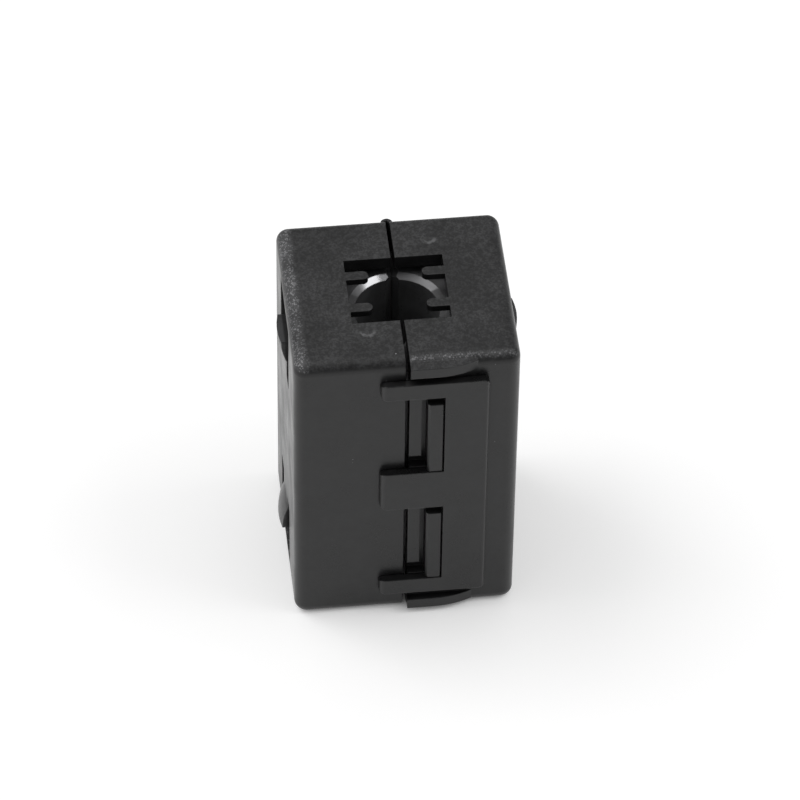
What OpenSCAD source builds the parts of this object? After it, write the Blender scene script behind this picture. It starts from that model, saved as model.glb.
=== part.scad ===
// Clip-on ferrite bead: a hinged plastic case that snaps shut round a cable and holds
// two halves of a ferrite core against each other. It stands on one end, with the bore
// upright, the hinge at the back (+Y) and the snap latch at the front (-Y).

/* [Core] */
// Outer diameter of the ferrite core, which the case is built round
core_d = 13.6; // [11:0.1:20]
// Bore of the ferrite core
bore_d = 7; // [5:0.1:8]
// Length of the ferrite core, which the case is built round
core_h = 25.6; // [20:0.1:40]
// Gap between the ground faces of the two core halves
core_gap = 0.04; // [0.02:0.01:0.1]
// Chamfer on the edges of the ground faces
core_bevel = 0.5; // [0.05:0.05:0.6]
// Width of the worn cone at each end of the bore
bore_cone_w = 0.55; // [0.2:0.05:1]
// Depth of the worn cone at each end of the bore
bore_cone_h = 0.35; // [0.1:0.05:1]
// Chamfer on the outer end edges of the core
core_edge = 0.3; // [0.1:0.05:0.6]
// Clearance between the core and what cradles it
core_clear = 0.08; // [0.04:0.01:0.1]

/* [Case] */
// Room between the core and the latch wall or the hinge wall
side_room = 0.15; // [0.1:0.05:1]
// Room between the core and the outer walls, where the tongues work
outer_room = 1.2; // [1:0.05:2]
// Room between the core and the end walls
end_room = 1.0; // [0.5:0.05:2]
// Thickness of the latch wall and the hinge wall
side_wall = 1.3; // [1.1:0.1:2]
// Thickness of the two outer walls that carry the spring tongues
outer_wall = 1.2; // [1:0.1:2]
// Thickness of the end walls
end_wall = 1.2; // [0.8:0.1:1.6]
// Radius of the outer edges
edge_r = 1.0; // [0.4:0.1:1.1]
// Gap between the two halves when the latch is shut
seam_gap = 0.34; // [0.1:0.02:0.4]

/* [Cradle] */
// Distance between the two cradle ribs
rib_pitch = 13; // [10:0.5:16]
// Thickness of a cradle rib
rib_t = 1.2; // [0.8:0.1:2]
// Distance from the seam at which a cradle rib begins
rib_start = 2.2; // [1.5:0.1:4]
// Width of a stop pad that keeps the core off the end wall
stop_w = 1.0; // [0.6:0.1:1.4]

/* [Cable mouth] */
// How far the mouth in an end wall reaches past the bore towards each outer wall
mouth_side = 0.55; // [0.2:0.05:0.8]
// How far the mouth reaches past the bore towards the hinge and the latch
mouth_end = 0.05; // [0:0.05:0.5]
// Width of a cable finger
finger_w = 0.92; // [0.6:0.05:1.2]
// Thickness of a cable finger
finger_t = 0.6; // [0.4:0.05:0.8]
// Length of a cable finger, from the mouth's edge to its round tip
finger_l = 1.85; // [1.2:0.05:2.2]
// Distance between the two fingers of a half
finger_pitch = 3.6; // [2.4:0.1:4.2]

/* [Spring tongues] */
// Width of a spring tongue
tongue_w = 3.2; // [2:0.1:5]
// Thickness of a spring tongue
tongue_t = 0.9; // [0.6:0.05:1]
// Distance from the case's middle to the root of a tongue
tongue_root = 7.4; // [2:0.1:8]
// How far the dome of a tongue stands out of its wall at the free end
tongue_proud = 0.64; // [0.3:0.02:1.2]
// Radius of the dome
dome_r = 6.5; // [3.5:0.1:9]
// Length of the pad by which a tongue bears on the core
pad_h = 1.5; // [0.8:0.1:2.5]
// Slot along each side of a tongue
tongue_slot = 1.65; // [0.3:0.05:2]
// Room between the free end of a tongue and the end of its window
tongue_room = 2.7; // [0.8:0.1:3.5]
// Distance from the window of a tongue to the end of the case
window_inset = 1.0; // [0.6:0.1:3]

/* [Latch] */
// Distance from the seam to the free edge of the latch flap
flap_reach = 6.6; // [5.5:0.05:7]
// Distance from the seam to where the prongs begin to round down to their roots
flap_root = 1.61; // [1.2:0.01:3]
// Thickness of the latch flap, and radius of the roots of its prongs
flap_t = 0.65; // [0.5:0.05:1]
// Gap between the latch flap and the faces it lies on
flap_gap = 0.05; // [0.03:0.01:0.1]
// Distance from the seam to the bar that snaps behind the catches
bar_reach = 3.0; // [2.6:0.05:3.6]
// Height of the upper and the lower prong
end_prong_h = 1.65; // [1.2:0.05:2.4]
// Height of the middle prong
mid_prong_h = 4.25; // [3:0.05:5]
// Corner radius of the prongs and the flap
prong_r = 0.5; // [0.2:0.05:0.55]
// Radius of the free edge of the flap
flap_edge_r = 0.3; // [0.1:0.05:0.3]
// How far the latch flap sits above the middle between the guard ledges
flap_lift = 0.1; // [0:0.05:0.6]

/* [Catches] */
// Width of a catch
catch_w = 1.3; // [0.9:0.05:1.5]
// How far a catch stands out of the case
catch_proud = 0.65; // [0.4:0.05:1]
// Lead-in chamfer that the latch bar rides up
catch_ramp = 0.2; // [0.1:0.05:0.3]
// Small chamfer on the locking edge
catch_edge = 0.1; // [0.05:0.05:0.2]
// Gap between the locking face and the latch bar
catch_gap = 0.08; // [0.06:0.01:0.2]
// Gap between a catch and the prong below it
catch_drop = 0.08; // [0.06:0.02:0.3]
// Room between a catch and the prong above it
catch_room = 0.87; // [0.2:0.01:1.5]
// Width of the relief groove beside a catch
groove_w = 0.42; // [0.3:0.02:0.7]
// Height of the groove's foot, which runs to the seam
groove_foot = 1.3; // [0.5:0.1:3]
// Depth of the relief groove beside a catch
groove_depth = 0.8; // [0.4:0.05:0.9]

/* [Guard ledges] */
// How far a guard ledge stands out of the case
ledge_proud = 0.68; // [0.4:0.02:1]
// Thickness of a guard ledge
ledge_t = 1.03; // [0.5:0.01:1.2]
// Distance from the lower guard ledge to the lower end of the case
ledge_low_inset = 0.62; // [0.2:0.02:1.5]
// Distance from the upper guard ledge to the upper end of the case
ledge_top_inset = 0.3; // [0.2:0.02:1.5]
// Distance from the seam to the end of a guard ledge
ledge_reach = 5.65; // [4.5:0.05:6.5]
// Straight stretch of a guard ledge beside the seam
ledge_flat = 2.4; // [1.5:0.1:3.5]
// Gap between the latch flap and the guard ledges, were it not lifted
ledge_gap = 0.87; // [0.7:0.01:1.5]

/* [Hinge] */
// Height of each hinge strap
strap_h = 8.5; // [5:0.5:10]
// Thickness of a hinge strap
strap_t = 0.25; // [0.2:0.01:0.28]
// Outer radius of the arch that a shut hinge strap makes
strap_r = 0.5; // [0.5:0.02:0.9]
// Distance of each hinge strap from the end of the case
strap_inset = 0.7; // [0.7:0.1:3]

/* [Hidden] */

$fn = 48;

// Overlap of cutting tools past the faces that they cut
over = 0.5;

case_black = "#2a2a2c";
ferrite_grey = "#3b3b40";

case_w = core_d + 2 * (outer_room + outer_wall);
case_d = core_d + 2 * (side_room + side_wall);
case_h = core_h + 2 * (end_room + end_wall);
seam_x = seam_gap / 2;
mid_z = case_h / 2;
front_y = -case_d / 2;
back_y = case_d / 2;
inner_x = case_w / 2 - outer_wall;
inner_y = case_d / 2 - side_wall;
core_r = core_d / 2;
bore_r = bore_d / 2;
core_low = end_wall + end_room;
mouth_w = bore_d + 2 * mouth_side;
mouth_d = bore_d + 2 * mouth_end;
tongue_end = mid_z - window_inset - tongue_room;
ledge_lows = [ledge_low_inset, case_h - ledge_top_inset - ledge_t];
flap_low = ledge_lows[0] + ledge_t + ledge_gap + flap_lift;
flap_h = ledge_lows[1] - ledge_gap + flap_lift - flap_low;
flap_y = front_y - flap_gap - flap_t;
window_h = (flap_h - 2 * end_prong_h - mid_prong_h) / 2;
window_lows = [flap_low + end_prong_h, flap_low + end_prong_h + window_h + mid_prong_h];
prong_lows = [flap_low, flap_low + end_prong_h + window_h, flap_low + flap_h - end_prong_h];
prong_heights = [end_prong_h, mid_prong_h, end_prong_h];
catch_h = window_h - catch_drop - catch_room;
catch_x = bar_reach - catch_gap - catch_w;
ledge_round = ledge_reach - ledge_flat;
ledge_arc_r = (ledge_round * ledge_round + ledge_proud * ledge_proud) / (2 * ledge_proud);
strap_lows = [strap_inset, case_h - strap_inset - strap_h];

// Rectangle with round corners, centred
module round_rect(w, h, r) {
    square([w - 2 * r, h], center = true);
    square([w, h - 2 * r], center = true);
    for (sx = [-1, 1], sy = [-1, 1])
        translate([sx * (w / 2 - r), sy * (h / 2 - r)])
            circle(r);
}

// Mirror-image copies about the middle of the case's length
module at_both_ends() {
    children();
    translate([0, 0, case_h])
        mirror([0, 0, 1])
            children();
}

// Mirror-image copies about the plane through the hinge and the latch
module on_both_sides() {
    children();
    mirror([0, 1, 0])
        children();
}

// Outside of the whole case, with every edge and corner rounded
module case_block() {
    flat = [case_w - 2 * edge_r, case_d - 2 * edge_r, case_h - 2 * edge_r];
    translate([0, 0, mid_z]) {
        cube([case_w, flat.y, flat.z], center = true);
        cube([flat.x, case_d, flat.z], center = true);
        cube([flat.x, flat.y, case_h], center = true);
        for (a = [-0.5, 0.5], b = [-0.5, 0.5]) {
            translate([a * flat.x, b * flat.y, 0])
                cylinder(h = flat.z, r = edge_r, center = true);
            translate([a * flat.x, 0, b * flat.z])
                rotate([90, 0, 0])
                    cylinder(h = flat.y, r = edge_r, center = true);
            translate([0, a * flat.y, b * flat.z])
                rotate([0, 90, 0])
                    cylinder(h = flat.x, r = edge_r, center = true);
            for (c = [-0.5, 0.5])
                translate([a * flat.x, b * flat.y, c * flat.z])
                    sphere(edge_r);
        }
    }
}

// Trough of the half at +X, open at the seam
module trough() {
    translate([0, -inner_y, end_wall])
        cube([inner_x, 2 * inner_y, case_h - 2 * end_wall]);
}

// Ribs that cradle the round back of the core
module cradle_ribs() {
    for (side = [-1, 1])
        translate([0, 0, mid_z + side * rib_pitch / 2 - rib_t / 2])
            difference() {
                translate([rib_start, -case_d / 2 + side_wall / 2, 0])
                    cube([inner_x - rib_start + outer_wall / 2, case_d - side_wall, rib_t]);
                translate([0, 0, -over])
                    cylinder(h = rib_t + 2 * over, r = core_r + core_clear);
            }
}

// Pads on an end wall that the core's end rests against
module end_stops() {
    on_both_sides()
        translate([mouth_w / 2, mouth_d / 2, end_wall / 2])
            cube([stop_w, stop_w, core_low - core_clear - end_wall / 2]);
}

// Half of the mouth in an end wall
module mouth() {
    translate([-over, -mouth_d / 2, -over])
        cube([mouth_w / 2 + over, mouth_d, end_wall + 2 * over]);
}

// Two springy fingers with round tips that grip the cable
module fingers() {
    on_both_sides()
        translate([mouth_w / 2 - finger_l + finger_w / 2, finger_pitch / 2, 0]) {
            cylinder(h = finger_t, d = finger_w);
            translate([0, -finger_w / 2, 0])
                cube([finger_l, finger_w, finger_t]);
        }
}

// Window in the outer wall round the upper tongue
module tongue_window() {
    translate([core_r, -tongue_w / 2 - tongue_slot, mid_z + tongue_root])
        cube([case_w / 2 - core_r + over, tongue_w + 2 * tongue_slot,
              tongue_end - tongue_root + tongue_room]);
}

// Upper spring tongue: a plate in the wall, with a dome at its free end outside and a pad
// that bears on the core inside
module tongue() {
    wall_x = case_w / 2;
    pad_x = core_r + core_clear;
    tongue_l = tongue_end - tongue_root;
    translate([0, -tongue_w / 2, mid_z + tongue_root]) {
        translate([wall_x - tongue_t, 0, -over])
            cube([tongue_t, tongue_w, tongue_l + over]);
        translate([pad_x, 0, tongue_l - pad_h])
            cube([wall_x - tongue_t / 2 - pad_x, tongue_w, pad_h]);
        intersection() {
            translate([wall_x + tongue_proud - dome_r, tongue_w / 2, tongue_l])
                sphere(dome_r, $fn = 96);
            translate([wall_x - tongue_t / 2, 0, 0])
                cube([tongue_t / 2 + tongue_proud + over, tongue_w, tongue_l]);
        }
    }
}

// Trough-shaped half of the case at +X, as both halves have it
module case_half() {
    difference() {
        union() {
            difference() {
                intersection() {
                    case_block();
                    translate([seam_x, -case_d / 2 - over, -over])
                        cube([case_w, case_d + 2 * over, case_h + 2 * over]);
                }
                trough();
            }
            cradle_ribs();
            at_both_ends()
                end_stops();
        }
        at_both_ends()
            mouth();
        at_both_ends()
            tongue_window();
    }
    at_both_ends()
        fingers();
    at_both_ends()
        tongue();
}

// One catch, with a lead-in chamfer towards the seam and a square locking face
module catch(low) {
    outline = [
        [catch_x, front_y + side_wall / 2],
        [catch_x, front_y - catch_proud + catch_ramp],
        [catch_x + catch_ramp, front_y - catch_proud],
        [catch_x + catch_w - catch_edge, front_y - catch_proud],
        [catch_x + catch_w, front_y - catch_proud + catch_edge],
        [catch_x + catch_w, front_y + side_wall / 2]
    ];
    translate([0, 0, low])
        linear_extrude(catch_h)
            polygon(outline);
}

// Relief groove on the seam side of a catch, with a foot that runs to the seam
module catch_groove(low) {
    translate([catch_x - groove_w, front_y - over, low])
        cube([groove_w, groove_depth + over, catch_h]);
    translate([0, front_y - over, low])
        cube([catch_x, groove_depth + over, groove_foot]);
}

// Ledge that guards an end of the latch flap, straight at first and then rounding away
module guard_ledge(low) {
    translate([0, 0, low])
        linear_extrude(ledge_t) {
            translate([seam_x, front_y - ledge_proud])
                square([ledge_flat - seam_x, ledge_proud + side_wall / 2]);
            intersection() {
                translate([ledge_flat, front_y - ledge_proud + ledge_arc_r])
                    circle(ledge_arc_r, $fn = 96);
                translate([ledge_flat, front_y - ledge_proud])
                    square([ledge_round, ledge_proud + side_wall / 2]);
            }
        }
}

// Half tube that bridges the seam behind the case
module hinge_strap(low) {
    translate([0, back_y, low])
        linear_extrude(strap_h)
            intersection() {
                difference() {
                    circle(strap_r);
                    circle(strap_r - strap_t);
                }
                translate([-strap_r, 0])
                    square([2 * strap_r, strap_r]);
            }
}

// Half core at +X: half a tube with coned bore ends and chamfered edges
module core_half() {
    bevel_w = sqrt(2) * (core_bevel + core_gap / 2);
    section = [
        [bore_r + bore_cone_w, 0],
        [core_r - core_edge, 0],
        [core_r, core_edge],
        [core_r, core_h - core_edge],
        [core_r - core_edge, core_h],
        [bore_r + bore_cone_w, core_h],
        [bore_r, core_h - bore_cone_h],
        [bore_r, bore_cone_h]
    ];
    difference() {
        intersection() {
            translate([0, 0, core_low])
                rotate_extrude($fn = 96)
                    polygon(section);
            translate([core_gap / 2, -core_d, 0])
                cube([core_d, 2 * core_d, case_h]);
        }
        for (z = [core_low, core_low + core_h])
            translate([0, 0, z])
                rotate([0, 45, 0])
                    cube([bevel_w, 2 * core_d, bevel_w], center = true);
        for (side = [-1, 1])
            translate([0, side * bore_r, mid_z])
                rotate([0, 0, 45])
                    cube([bevel_w, bevel_w, case_h], center = true);
    }
}

module left_case() {
    color(case_black)
        mirror([1, 0, 0])
            case_half();
}

module right_case() {
    color(case_black) {
        difference() {
            case_half();
            for (low = window_lows)
                catch_groove(low + catch_drop);
        }
        for (low = window_lows)
            catch(low + catch_drop);
        for (low = ledge_lows)
            guard_ledge(low);
    }
}

// E-shaped flap: three prongs rooted on the left half, joined by the bar at their free ends
module latch_flap() {
    spine_w = flap_reach - bar_reach;
    tip_x = -flap_root - flap_t;
    prong_w = bar_reach + spine_w / 2 - tip_x;
    color(case_black)
        intersection() {
            translate([0, front_y - flap_gap, 0])
                rotate([90, 0, 0])
                    linear_extrude(flap_t) {
                        translate([bar_reach + spine_w / 2, flap_low + flap_h / 2])
                            round_rect(spine_w, flap_h, prong_r);
                        for (i = [0 : len(prong_lows) - 1])
                            translate([tip_x + prong_w / 2, prong_lows[i] + prong_heights[i] / 2])
                                round_rect(prong_w, prong_heights[i], prong_r);
                    }
            translate([0, 0, flap_low])
                linear_extrude(flap_h) {
                    translate([-flap_root, flap_y + flap_t])
                        circle(flap_t);
                    translate([-flap_root, flap_y])
                        square([flap_reach + flap_root - flap_edge_r, flap_t]);
                    translate([flap_reach - flap_edge_r, flap_y + flap_edge_r])
                        circle(flap_edge_r);
                    translate([flap_reach - flap_edge_r, flap_y + flap_edge_r])
                        square([flap_edge_r, flap_t - flap_edge_r]);
                }
        }
}

module upper_hinge_strap() {
    color(case_black)
        hinge_strap(strap_lows[1]);
}

module lower_hinge_strap() {
    color(case_black)
        hinge_strap(strap_lows[0]);
}

module left_ferrite() {
    color(ferrite_grey)
        mirror([1, 0, 0])
            core_half();
}

module right_ferrite() {
    color(ferrite_grey)
        core_half();
}

left_case();
right_case();
latch_flap();
upper_hinge_strap();
lower_hinge_strap();
left_ferrite();
right_ferrite();
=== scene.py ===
"""Looks of a clip-on ferrite bead: black moulded case, dark ferrite core, white studio."""
import math
from types import SimpleNamespace

import bmesh
import bpy
from mathutils import Matrix, Vector


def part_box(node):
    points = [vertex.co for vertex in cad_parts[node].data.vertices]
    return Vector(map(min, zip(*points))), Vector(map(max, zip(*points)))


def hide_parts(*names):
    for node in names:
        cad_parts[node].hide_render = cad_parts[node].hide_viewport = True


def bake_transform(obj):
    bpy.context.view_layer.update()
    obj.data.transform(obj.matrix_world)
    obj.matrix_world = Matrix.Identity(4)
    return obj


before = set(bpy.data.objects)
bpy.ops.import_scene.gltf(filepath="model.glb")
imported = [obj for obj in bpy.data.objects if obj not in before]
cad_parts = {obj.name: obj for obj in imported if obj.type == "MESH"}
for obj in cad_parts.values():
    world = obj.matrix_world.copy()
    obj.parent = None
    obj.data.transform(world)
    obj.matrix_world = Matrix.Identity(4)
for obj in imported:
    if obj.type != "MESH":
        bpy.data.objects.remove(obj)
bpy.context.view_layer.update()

MM = 0.001
WHITE = (1.0, 1.0, 1.0, 1.0)

CASE_NODES = ("left_case", "right_case", "latch_flap")
FERRITE_NODES = ("left_ferrite", "right_ferrite")
STRAP_NODES = ("upper_hinge_strap", "lower_hinge_strap")

# Camera, as found from the photograph's edges: angles in degrees, lens and sensor in mm
CAMERA_AZIMUTH = -6.733
CAMERA_ELEVATION = 47.169
CAMERA_ROLL = 0.808
CAMERA_DISTANCE = 465.54 * MM
CAMERA_LENS = 252.0
CAMERA_SENSOR = 36.0
CAMERA_SHIFT = (0.0056, 0.0179)
CAMERA_CLIP = 10 * MM

# Square lamps: direction in degrees, azimuth 0 being behind the object, sizes in m, power in W
SOFTBOXES = (
    {"name": "key", "azimuth": -70, "elevation": 58,
     "distance": 0.60, "size": 0.34, "power": 1.20},
    {"name": "fill", "azimuth": 100, "elevation": 54,
     "distance": 0.60, "size": 0.26, "power": 0.55},
)

# Light of the surroundings overhead, at the horizon and on their dark side. The spans are of a
# direction's height, and of its agreement with the direction of the dark side.
WORLD_LIGHT = 0.80
WORLD_HORIZON = 0.30
WORLD_DARK = 0.16
OVERHEAD_SPAN = (0.45, 0.85)
DARK_SIDE = (-0.06, -0.86, 0.50)
DARK_SPAN = (0.72, 0.95)

# White floor. The camera sees it lifted where the object, within reach, leaves it open enough;
# where the object closes it in, the missing lift is painted shade
FLOOR_COLOUR = (0.80, 0.80, 0.80, 1.0)
FLOOR_ROUGHNESS = 0.9
FLOOR_SHINE = 0.1
FLOOR_LIFT = 0.35
FLOOR_REACH = 6 * MM
FLOOR_OPENNESS = (0.05, 0.45)
FLOOR_SAMPLES = 8
FLOOR_SIZE = 3.0
FLOOR_DROP = 0.02 * MM

# Noises: feature size, detail and roughness
FINE_GRAIN = (0.17 * MM, 2.0, 0.6)
COARSE_GRAIN = (0.5 * MM, 3.0, 0.5)
CASE_CLOUDS = (3.2 * MM, 3.0, 0.6)
CORE_CLOUDS = (1.6 * MM, 4.0, 0.6)
CORE_GRAIN = (0.12 * MM, 2.0, 0.6)
CORE_LINES = (0.2 * MM, 2.0, 0.6)
CORE_LINE_STRETCH = (1.0, 1.0, 0.04)
FINER_SHARE = 0.6
COARSER_SHARE = 0.4
MEAN_NOISE = 0.5

# Specks: pitch of their cells, share of the cells that have one, and largest radius
DUST_SPECKS = (0.9 * MM, 0.10, 0.07 * MM)
LINT_SPECKS = (2.3 * MM, 0.16, 0.12 * MM)
SAND_SPECKS = (0.15 * MM, 0.75, 0.11 * MM)
PORE_SPECKS = (0.35 * MM, 0.4, 0.08 * MM)

# Patches: span of a noise over which a pattern sets in, and its strength at the span's ends
BODY_PATCHES = ((0.35, 0.7), (0.0, 1.0))
GRAIN_AND_SPARKLE_PATCHES = ((0.42, 0.62), (0.0, 1.0))
SPECKLE_PATCHES = ((0.3, 0.7), (0.35, 0.75))
DOME_HIGHLIGHT_PATCHES = ((0.3, 0.6), (0.5, 1.0))
SCUFF_AND_HIGHLIGHT_PATCHES = ((0.38, 0.6), (0.45, 1.0))
EDGE_PATCHES = ((0.45, 0.62), (0.0, 1.0))
MARK_PATCHES = ((0.42, 0.58), (0.25, 1.0))

# Strength of the worn and highlit edges, painted mark highlights, pores, dust, and the scuffs and
# painted fillet highlight between and on their sandy specks
EDGE_STRENGTH = 0.5
MARK_HIGHLIGHT_STRENGTH = 0.8
PORE_STRENGTH = 0.8
DUST_STRENGTH = 0.3
DUST_ADDED_ON_TOP = 0.3
SCUFF_AND_HIGHLIGHT_STRENGTH = 0.2
SAND_ADDED_ON_FILLETS = 0.7

# Grey levels of the plastic: its two body tones, then each thing that shows on them
BLUE_TINT = 1.03
CASE_DARK = 0.010
CASE_PALE = 0.018
# Grained ends, paler also by painted sparkle
CASE_GRAIN_AND_SPARKLE = 0.057
# Painted highlight on the domes of the spring tongues
CASE_DOME_HIGHLIGHT = 0.065
# Scuffs, and painted highlight on the fillets
CASE_SCUFFED_AND_LIT = 0.24
# Worn edges, and painted edge highlight
CASE_WORN_AND_LIT = 0.060
# Painted highlight on the front half of the marks' rims
CASE_MARK_HIGHLIGHT = 0.12
CASE_DUSTY = 0.40

# Gloss of the plastic: its roughness over a span of the clouds, and what the grain adds
CASE_ROUGHNESS = ((0.3, 0.75), (0.28, 0.40))
ROUGHNESS_ADDED_AT_ENDS = 0.16
ROUGHNESS_ADDED_BY_GRAIN = 0.14
CASE_IOR = 1.42

# Bump of the plastic, its strength on the sides, what the ends add to it, and the marks' height
CASE_BUMP = 0.03 * MM
CASE_BUMP_STRENGTH = 0.16
BUMP_ADDED_AT_ENDS = 0.64
MARK_HEIGHT = 0.5

# Radius of sharp edges, and agreement of the rounded normal with the true one where wear and
# painted edge highlight set in
CASE_EDGE = 0.12 * MM
CORE_EDGE = 0.1 * MM
EDGE_AGREEMENT = (0.995, 0.90)
EDGE_SAMPLES = 6

# Case's middle height, and how far from it the grain of the ends begins and is full
CASE_MIDDLE = 15 * MM
GRAIN_SPAN = (13.7 * MM, 14.3 * MM)

# Heights of the normal over which a face counts as an end, as part of a fillet and as facing up
FACING_END = (0.2, 0.8)
FACING_FILLET = (0.3, 0.6)
FACING_UP = (0.3, 0.9)

# Where the scuffs and painted fillet highlight begin on the left edge, and begin and end on the
# right half's front edge
SCUFFED_AND_LIT_LEFT = -7.75 * MM
SCUFFED_AND_LIT_FRONT = (-7.4 * MM, -8.15 * MM)
SCUFF_AND_HIGHLIGHT_FADE = 0.4 * MM

# Distance from the middle at which the domes of the spring tongues stand proud of the sides, and
# their painted highlight sets in
PROUD = 9.22 * MM
PROUD_SPAN = (PROUD, 1.02 * PROUD)

# Two round moulding marks on the upper end: places, and the spans that bound a rim's front half,
# the half painted with a highlight
GATE_MARKS = ((3.12 * MM, 5.5 * MM, 30 * MM), (-2.87 * MM, -4.5 * MM, 30 * MM))
MARK_RADIUS = 0.75 * MM
MARK_OUTSIDE = (MARK_RADIUS, 0.8 * MARK_RADIUS)
MARK_INSIDE = (0.4 * MARK_RADIUS, 0.65 * MARK_RADIUS)
MARK_FRONT = (0.2 * MARK_RADIUS, -0.4 * MARK_RADIUS)

# Ferrite: grey levels, roughness over a span of the clouds, what burnishing takes off it, bump
CORE_DARK = 0.055
CORE_PALE = 0.080
CORE_PORE = 0.020
CORE_BURNISHED = 0.26
CORE_ROUGHNESS = ((0.3, 0.75), (0.50, 0.62))
ROUGHNESS_BURNISHED_OFF = 0.40
CORE_IOR = 1.6
CORE_BUMP = 0.02 * MM
CORE_BUMP_STRENGTH = 0.22
PORE_DEPTH = 0.6

# Bore's cones: heights of the normal between which a face is one of them, where along Y their
# burnished part sets in, and its strength across each half
CONE_FROM = (0.76, 0.81)
CONE_TO = (0.96, 0.90)
BURNISHED_SPAN = (1.75 * MM, 1.95 * MM)
BURNISHED_LEFT = ((-2.9 * MM, -2.0 * MM), (0.4, 1.0))
BURNISHED_RIGHT = ((0.4 * MM, 3.0 * MM), (0.3, 0.45))
SEAM_SPAN = (-0.1 * MM, 0.1 * MM)

# Hinge straps: wall, share and sharpness of its thinning at the crown, and the steps of the mesh
# round the arch and along it
STRAP_WALL = 0.25 * MM
STRAP_THINNING = 0.35
STRAP_SHARPNESS = 4
STRAP_STEPS = 28
STRAP_ROWS = 18


class Tree:
    """A material's node tree, with short calls to add and link its nodes."""

    def __init__(self, name):
        self.material = bpy.data.materials.new(name)
        self.material.use_nodes = True
        self.tree = self.material.node_tree
        self.shader = self.tree.nodes["Principled BSDF"]

    def add(self, kind, settings=None, **inputs):
        """Adds a node. Settings are its attributes, inputs its sockets, as a value or a link."""
        node = self.tree.nodes.new("ShaderNode" + kind)
        for name, value in (settings or {}).items():
            setattr(node, name, value)
        for name, value in inputs.items():
            put(self.tree, node.inputs[name], value)
        return node

    def shade(self, name, value):
        """Sets or links one of the shader's own sockets."""
        put(self.tree, self.shader.inputs[name], value)

    def math(self, operation, first, second=0.0):
        node = self.add("Math", {"operation": operation})
        put(self.tree, node.inputs[0], first)
        put(self.tree, node.inputs[1], second)
        return node.outputs[0]

    def times(self, first, *others):
        for other in others:
            first = self.math("MULTIPLY", first, other)
        return first

    def plus(self, first, second):
        return self.math("ADD", first, second)

    def minus(self, first, second):
        return self.math("SUBTRACT", first, second)

    def larger(self, first, second):
        return self.math("MAXIMUM", first, second)

    def size(self, value):
        return self.math("ABSOLUTE", value)

    def vector(self, operation, first, second=(0.0, 0.0, 0.0)):
        """Outputs of a vector node: Vector and Value."""
        node = self.add("VectorMath", {"operation": operation})
        put(self.tree, node.inputs[0], first)
        put(self.tree, node.inputs[1], second)
        return node.outputs

    def split(self, vector):
        return self.add("SeparateXYZ", Vector=vector).outputs

    def ramp(self, value, span, to=(0.0, 1.0)):
        return smooth_map(self.tree, value, span, to)

    def mix(self, factor, first, second):
        """Mix of two colours."""
        node = self.add("Mix", {"data_type": "RGBA"}, Factor=factor)
        put(self.tree, node.inputs[6], first)
        put(self.tree, node.inputs[7], second)
        return node.outputs[2]

    def mix_values(self, factor, first, second):
        node = self.add("Mix", Factor=factor)
        put(self.tree, node.inputs[2], first)
        put(self.tree, node.inputs[3], second)
        return node.outputs[0]

    def place(self):
        return self.add("TexCoord").outputs["Object"]

    def rounded(self, radius):
        """Normal that rounds the sharp edges off."""
        return self.add("Bevel", {"samples": EDGE_SAMPLES}, Radius=radius).outputs["Normal"]

    def noise(self, place, size, detail, roughness):
        """Noise whose features are about size metres across."""
        node = self.add("TexNoise", Vector=place, Scale=1.0 / size)
        node.inputs["Detail"].default_value = detail
        node.inputs["Roughness"].default_value = roughness
        return node.outputs["Fac"]

    def both(self, finer, coarser):
        """Two noises in one, in fixed shares."""
        return self.plus(self.times(finer, FINER_SHARE), self.times(coarser, COARSER_SHARE))

    def specks(self, place, pitch, share, radius):
        """Round specks in a share of the cells of a grid with this pitch, 1 inside a speck."""
        cells = self.add("TexVoronoi", {"feature": "F1"}, Vector=place, Scale=1.0 / pitch)
        lots = self.add("SeparateColor", Color=cells.outputs["Color"]).outputs
        chosen = self.math("LESS_THAN", lots[0], share)
        reach = self.times(lots[1], radius / pitch)
        inside = self.math("LESS_THAN", cells.outputs["Distance"], reach)
        return self.times(chosen, inside)


def put(tree, socket, value):
    """Links a socket to another one, or sets its value."""
    if isinstance(value, bpy.types.NodeSocket):
        tree.links.new(value, socket)
    else:
        socket.default_value = value


def smooth_map(tree, value, span, to):
    """Maps a linked value from one span to another with a smooth step."""
    node = tree.nodes.new("ShaderNodeMapRange")
    node.interpolation_type = "SMOOTHSTEP"
    put(tree, node.inputs["Value"], value)
    put(tree, node.inputs["From Min"], span[0])
    put(tree, node.inputs["From Max"], span[1])
    put(tree, node.inputs["To Min"], to[0])
    put(tree, node.inputs["To Max"], to[1])
    return node.outputs["Result"]


def grey(level):
    """A grey that is very slightly blue."""
    return (level, level, level * BLUE_TINT, 1.0)


def survey_case(t):
    """What the plastic's patterns depend on: the place, how the surface faces, and the noises."""
    skin = SimpleNamespace()
    skin.place = t.place()
    skin.where = t.split(skin.place)
    skin.normal = t.add("NewGeometry").outputs["Normal"]
    skin.rounded = t.rounded(CASE_EDGE)
    height = t.split(skin.normal)["Z"]
    skin.upright = t.size(height)
    skin.at_end = t.ramp(t.size(t.minus(skin.where["Z"], CASE_MIDDLE)), GRAIN_SPAN)
    skin.facing_end = t.times(t.ramp(skin.upright, FACING_END), skin.at_end)
    skin.facing_up = t.ramp(height, FACING_UP)
    skin.fine = t.noise(skin.place, *FINE_GRAIN)
    skin.coarse = t.noise(skin.place, *COARSE_GRAIN)
    skin.cloudy = t.noise(skin.place, *CASE_CLOUDS)
    skin.grain = t.both(skin.fine, skin.coarse)
    return skin


def end_grain_and_sparkle(t, skin):
    """Pale grain of the two ends, in clouds, with painted sparkle where light grazes it."""
    grain = t.times(t.ramp(skin.grain, *GRAIN_AND_SPARKLE_PATCHES), skin.facing_end)
    return t.times(grain, t.ramp(skin.cloudy, *SPECKLE_PATCHES))


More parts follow.
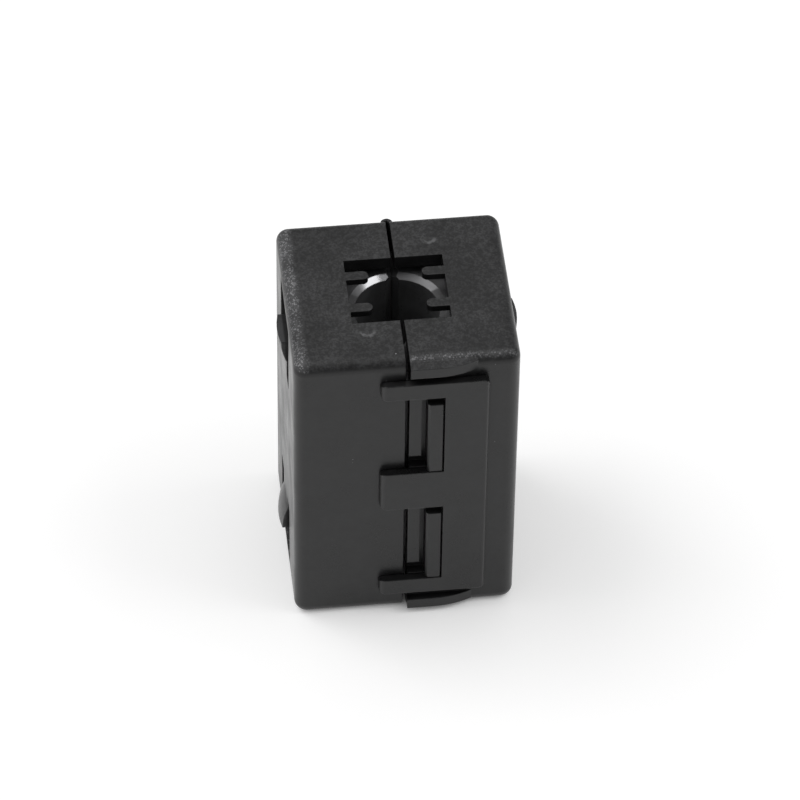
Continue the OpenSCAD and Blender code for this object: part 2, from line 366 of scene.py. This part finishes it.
def dome_highlights(t, skin):
    """Painted highlight in patches on the spring tongues' domes, where they stand proud."""
    proud = t.ramp(t.size(skin.where["X"]), PROUD_SPAN)
    return t.times(proud, t.ramp(skin.coarse, *DOME_HIGHLIGHT_PATCHES))


def scuffs_and_fillet_highlight(t, skin):
    """Sandy scuffs and painted highlight along the left edge and the right half's front edge."""
    x, y = skin.where["X"], skin.where["Y"]
    begins, ends = SCUFFED_AND_LIT_FRONT
    left = t.ramp(x, (SCUFFED_AND_LIT_LEFT, SCUFFED_AND_LIT_LEFT - 2 * SCUFF_AND_HIGHLIGHT_FADE))
    front = t.ramp(y, (begins, begins - SCUFF_AND_HIGHLIGHT_FADE))
    front = t.times(front, t.ramp(y, (ends, ends + SCUFF_AND_HIGHLIGHT_FADE)))
    front = t.times(front, t.ramp(x, (0.0, SCUFF_AND_HIGHLIGHT_FADE)))
    patches = t.times(t.larger(left, front), t.ramp(skin.cloudy, *SCUFF_AND_HIGHLIGHT_PATCHES))
    on_fillet = t.times(t.ramp(skin.upright, FACING_FILLET), skin.at_end)
    sand = t.times(t.specks(skin.place, *SAND_SPECKS), SAND_ADDED_ON_FILLETS)
    return t.times(patches, on_fillet, t.plus(SCUFF_AND_HIGHLIGHT_STRENGTH, sand))


def worn_and_highlit_edges(t, skin):
    """Wear and painted highlight in patches along the sharp edges, where the rounded normal leaves
    the true one.
    """
    agreement = t.vector("DOT_PRODUCT", skin.rounded, skin.normal)["Value"]
    patches = t.times(t.ramp(agreement, EDGE_AGREEMENT), t.ramp(skin.coarse, *EDGE_PATCHES))
    return t.times(patches, EDGE_STRENGTH)


def mark_rim(t, place, spot):
    """1 on the front half of a moulding mark's rim, and 0 elsewhere."""
    offset = t.vector("SUBTRACT", place, spot)["Vector"]
    away = t.vector("LENGTH", offset)["Value"]
    ring = t.times(t.ramp(away, MARK_OUTSIDE), t.ramp(away, MARK_INSIDE))
    return t.times(ring, t.ramp(t.split(offset)["Y"], MARK_FRONT))


def gate_marks(t, skin):
    """Broken rims of the two moulding marks, raised in the bump and painted with a highlight."""
    rims = t.larger(*(mark_rim(t, skin.place, spot) for spot in GATE_MARKS))
    return t.times(rims, t.ramp(skin.coarse, *MARK_PATCHES))


def dust(t, skin):
    """Fine dust and a few larger bits, stronger on what faces up."""
    fine = t.specks(skin.place, *DUST_SPECKS)
    lint = t.specks(skin.place, *LINT_SPECKS)
    strength = t.plus(DUST_STRENGTH, t.times(skin.facing_up, DUST_ADDED_ON_TOP))
    return t.times(t.larger(fine, lint), strength)


def case_colour(t, skin, marks):
    """Body tones of the plastic, and over them each thing that shows on it."""
    body = t.ramp(skin.cloudy, *BODY_PATCHES)
    colour = t.mix(body, grey(CASE_DARK), grey(CASE_PALE))
    # Pale grain of the ends, with painted sparkle
    colour = t.mix(end_grain_and_sparkle(t, skin), colour, grey(CASE_GRAIN_AND_SPARKLE))
    # Painted highlight on the domes of the spring tongues
    colour = t.mix(dome_highlights(t, skin), colour, grey(CASE_DOME_HIGHLIGHT))
    # Scuffs, with painted highlight on the fillets
    colour = t.mix(scuffs_and_fillet_highlight(t, skin), colour, grey(CASE_SCUFFED_AND_LIT))
    # Edge wear, with painted edge highlight
    colour = t.mix(worn_and_highlit_edges(t, skin), colour, grey(CASE_WORN_AND_LIT))
    # Painted highlight on the front half of the marks' rims
    colour = t.mix(t.times(marks, MARK_HIGHLIGHT_STRENGTH), colour, grey(CASE_MARK_HIGHLIGHT))
    return t.mix(dust(t, skin), colour, grey(CASE_DUSTY))


def case_roughness(t, skin):
    """Roughness of the plastic: cloudy, and higher on the grained ends."""
    clouds = t.ramp(skin.cloudy, *CASE_ROUGHNESS)
    ends = t.times(skin.facing_end, ROUGHNESS_ADDED_AT_ENDS)
    grain = t.times(t.minus(skin.fine, MEAN_NOISE), ROUGHNESS_ADDED_BY_GRAIN)
    return t.plus(t.plus(clouds, ends), grain)


def case_plastic():
    """Black moulded nylon: grained ends, smooth sides, worn edges, marks, scuffs, dust and painted
    highlights.
    """
    t = Tree("case_plastic")
    skin = survey_case(t)
    marks = gate_marks(t, skin)
    height = t.plus(skin.grain, t.times(marks, MARK_HEIGHT))
    strength = t.plus(CASE_BUMP_STRENGTH, t.times(skin.facing_end, BUMP_ADDED_AT_ENDS))
    bump = t.add("Bump", Height=height, Strength=strength, Distance=CASE_BUMP, Normal=skin.rounded)
    t.shade("Base Color", case_colour(t, skin, marks))
    t.shade("Roughness", case_roughness(t, skin))
    t.shade("IOR", CASE_IOR)
    t.shade("Normal", bump.outputs["Normal"])
    return t.material


def burnished_cones(t, place):
    """The shiny part of the bore's cones: strong on the left half, weak on the right one."""
    normal = t.add("NewGeometry").outputs["True Normal"]
    upright = t.size(t.split(normal)["Z"])
    on_cone = t.times(t.ramp(upright, CONE_FROM), t.ramp(upright, CONE_TO))
    where = t.split(place)
    left = t.ramp(where["X"], *BURNISHED_LEFT)
    right = t.ramp(where["X"], *BURNISHED_RIGHT)
    strength = t.mix_values(t.ramp(where["X"], SEAM_SPAN), left, right)
    return t.times(on_cone, strength, t.ramp(where["Y"], BURNISHED_SPAN))


def ferrite():
    """Sintered ferrite: dull and porous, faintly ground, and burnished on the bore's cones."""
    t = Tree("ferrite")
    place = t.place()
    polish = burnished_cones(t, place)
    cloudy = t.noise(place, *CORE_CLOUDS)
    pores = t.specks(place, *PORE_SPECKS)
    grain = t.noise(place, *CORE_GRAIN)
    stretched = t.add("Mapping", Vector=place, Scale=CORE_LINE_STRETCH).outputs["Vector"]
    lines = t.noise(stretched, *CORE_LINES)

    colour = t.mix(t.ramp(cloudy, *BODY_PATCHES), grey(CORE_DARK), grey(CORE_PALE))
    colour = t.mix(t.times(pores, PORE_STRENGTH), colour, grey(CORE_PORE))
    colour = t.mix(polish, colour, grey(CORE_BURNISHED))
    dull = t.ramp(cloudy, *CORE_ROUGHNESS)
    height = t.minus(t.both(grain, lines), t.times(pores, PORE_DEPTH))
    bump = t.add("Bump", Height=height, Distance=CORE_BUMP, Normal=t.rounded(CORE_EDGE))
    bump.inputs["Strength"].default_value = CORE_BUMP_STRENGTH

    t.shade("Base Color", colour)
    t.shade("Metallic", polish)
    t.shade("Roughness", t.minus(dull, t.times(polish, ROUGHNESS_BURNISHED_OFF)))
    t.shade("IOR", CORE_IOR)
    t.shade("Normal", bump.outputs["Normal"])
    return t.material


def seen_directly(t):
    """1 for rays from the camera, from a mirror or through glass, and 0 for diffuse light."""
    path = t.add("LightPath").outputs
    mirrored = t.larger(path["Is Camera Ray"], path["Is Glossy Ray"])
    return t.larger(mirrored, path["Is Transmission Ray"])


def floor_white():
    """Matt white paper. In the open it is lifted for the camera, so that it reads as white."""
    t = Tree("floor_white")
    opening = t.add("AmbientOcclusion", {"samples": FLOOR_SAMPLES}, Distance=FLOOR_REACH)
    # The lift fades where the object closes the floor in: painted contact shade
    lift = t.ramp(opening.outputs["AO"], FLOOR_OPENNESS, (0.0, FLOOR_LIFT))
    t.shade("Base Color", FLOOR_COLOUR)
    t.shade("Roughness", FLOOR_ROUGHNESS)
    t.shade("Specular IOR Level", FLOOR_SHINE)
    t.shade("Emission Color", WHITE)
    t.shade("Emission Strength", t.times(seen_directly(t), lift))
    return t.material


def paint(obj, material):
    """Gives every material slot of an object one material."""
    if not obj.material_slots:
        obj.data.materials.append(material)
    for slot in obj.material_slots:
        slot.material = material


def strap_outline(radius):
    """Outline of the arch, its outer side and then its inner one, thinnest at the crown."""
    points = []
    for side in (0, 1):
        for step in range(STRAP_STEPS + 1):
            along = step if side == 0 else STRAP_STEPS - step
            turn = math.pi * along / STRAP_STEPS
            wall = STRAP_WALL * (1.0 - STRAP_THINNING * math.sin(turn) ** STRAP_SHARPNESS)
            reach = radius - side * wall
            points.append((-reach * math.cos(turn), reach * math.sin(turn)))
    return points


def strap_mesh(name, low, high):
    """The arch's outline, drawn out in rows along the strap."""
    outline = strap_outline((high.x - low.x) / 2)
    count = len(outline)
    mesh = bmesh.new()
    rings = []
    for row in range(STRAP_ROWS + 1):
        z = low.z + (high.z - low.z) * row / STRAP_ROWS
        rings.append([mesh.verts.new((x, low.y + y, z)) for x, y in outline])
    for lower, upper in zip(rings, rings[1:]):
        for i in range(count):
            j = (i + 1) % count
            mesh.faces.new((lower[i], lower[j], upper[j], upper[i]))
    mesh.faces.new(list(reversed(rings[0])))
    mesh.faces.new(rings[-1])
    bmesh.ops.recalc_face_normals(mesh, faces=mesh.faces)
    data = bpy.data.meshes.new(name)
    mesh.to_mesh(data)
    mesh.free()
    for face in data.polygons:
        face.use_smooth = len(face.vertices) == 4
    return data


def hinge_strap(name, node, material):
    """Living-hinge strap: an arch over the seam, in place of the hidden strap part."""
    low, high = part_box(node)
    data = strap_mesh(name, low, high)
    data.materials.append(material)
    strap = bpy.data.objects.new(name, data)
    bpy.context.collection.objects.link(strap)
    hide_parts(node)
    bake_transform(strap)


def add_floor(material):
    """A large square, a hair below the object."""
    size = FLOOR_SIZE
    corners = [(-size, -size, 0), (size, -size, 0), (size, size, 0), (-size, size, 0)]
    data = bpy.data.meshes.new("floor")
    data.from_pydata(corners, [], [(0, 1, 2, 3)])
    data.materials.append(material)
    floor = bpy.data.objects.new("floor", data)
    floor.location.z = -FLOOR_DROP
    bpy.context.collection.objects.link(floor)


def add_softbox(name, azimuth, elevation, distance, size, power):
    """Square area light that faces the middle of the case."""
    turn = math.radians(azimuth)
    rise = math.radians(elevation)
    flat = math.cos(rise)
    way = Vector((math.sin(turn) * flat, math.cos(turn) * flat, math.sin(rise)))
    light = bpy.data.lights.new(name, "AREA")
    light.size = size
    light.energy = power
    lamp = bpy.data.objects.new(name, light)
    lamp.location = way * distance + Vector((0, 0, CASE_MIDDLE))
    lamp.rotation_euler = way.to_track_quat("Z", "Y").to_euler()
    bpy.context.collection.objects.link(lamp)


def add_world():
    """Surroundings that are pale overhead, dimmer at the horizon and dark in front."""
    world = bpy.data.worlds.new("studio")
    world.use_nodes = True
    tree = world.node_tree
    way = tree.nodes.new("ShaderNodeTexCoord").outputs["Generated"]
    split = tree.nodes.new("ShaderNodeSeparateXYZ")
    put(tree, split.inputs[0], way)
    toward = tree.nodes.new("ShaderNodeVectorMath")
    toward.operation = "DOT_PRODUCT"
    put(tree, toward.inputs[0], way)
    put(tree, toward.inputs[1], DARK_SIDE)
    pale = smooth_map(tree, split.outputs["Z"], OVERHEAD_SPAN, (WORLD_HORIZON, WORLD_LIGHT))
    open_side = smooth_map(tree, toward.outputs["Value"], DARK_SPAN, (1.0, 0.0))
    light = smooth_map(tree, open_side, (0.0, 1.0), (WORLD_DARK, pale))
    background = tree.nodes["Background"]
    put(tree, background.inputs["Color"], WHITE)
    put(tree, background.inputs["Strength"], light)
    bpy.context.scene.world = world


def add_camera():
    """Camera at the photograph's viewing angle."""
    azimuth = math.radians(CAMERA_AZIMUTH)
    elevation = math.radians(CAMERA_ELEVATION)
    roll = math.radians(CAMERA_ROLL)
    flat = math.cos(elevation)
    back = Vector((math.sin(azimuth) * flat, -math.cos(azimuth) * flat, math.sin(elevation)))
    right = Vector((math.cos(azimuth), math.sin(azimuth), 0.0))
    up = back.cross(right)
    tilted_right = right * math.cos(roll) + up * math.sin(roll)
    tilted_up = up * math.cos(roll) - right * math.sin(roll)
    low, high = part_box("left_case")
    middle = Vector((0.0, 0.0, (low.z + high.z) / 2))
    data = bpy.data.cameras.new("camera")
    data.lens = CAMERA_LENS
    data.sensor_width = CAMERA_SENSOR
    data.shift_x, data.shift_y = CAMERA_SHIFT
    data.clip_start = CAMERA_CLIP
    camera = bpy.data.objects.new("camera", data)
    turn = Matrix((tilted_right, tilted_up, back)).transposed()
    camera.matrix_world = Matrix.Translation(middle + back * CAMERA_DISTANCE) @ turn.to_4x4()
    bpy.context.collection.objects.link(camera)
    bpy.context.scene.camera = camera


plastic = case_plastic()
core = ferrite()
for node in CASE_NODES:
    paint(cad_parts[node], plastic)
for node in FERRITE_NODES:
    paint(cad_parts[node], core)
for node in STRAP_NODES:
    hinge_strap(node.replace("_hinge_strap", "_living_hinge"), node, plastic)

add_floor(floor_white())
add_world()
for softbox in SOFTBOXES:
    add_softbox(**softbox)
add_camera()
bpy.context.scene.view_settings.view_transform = "Standard"
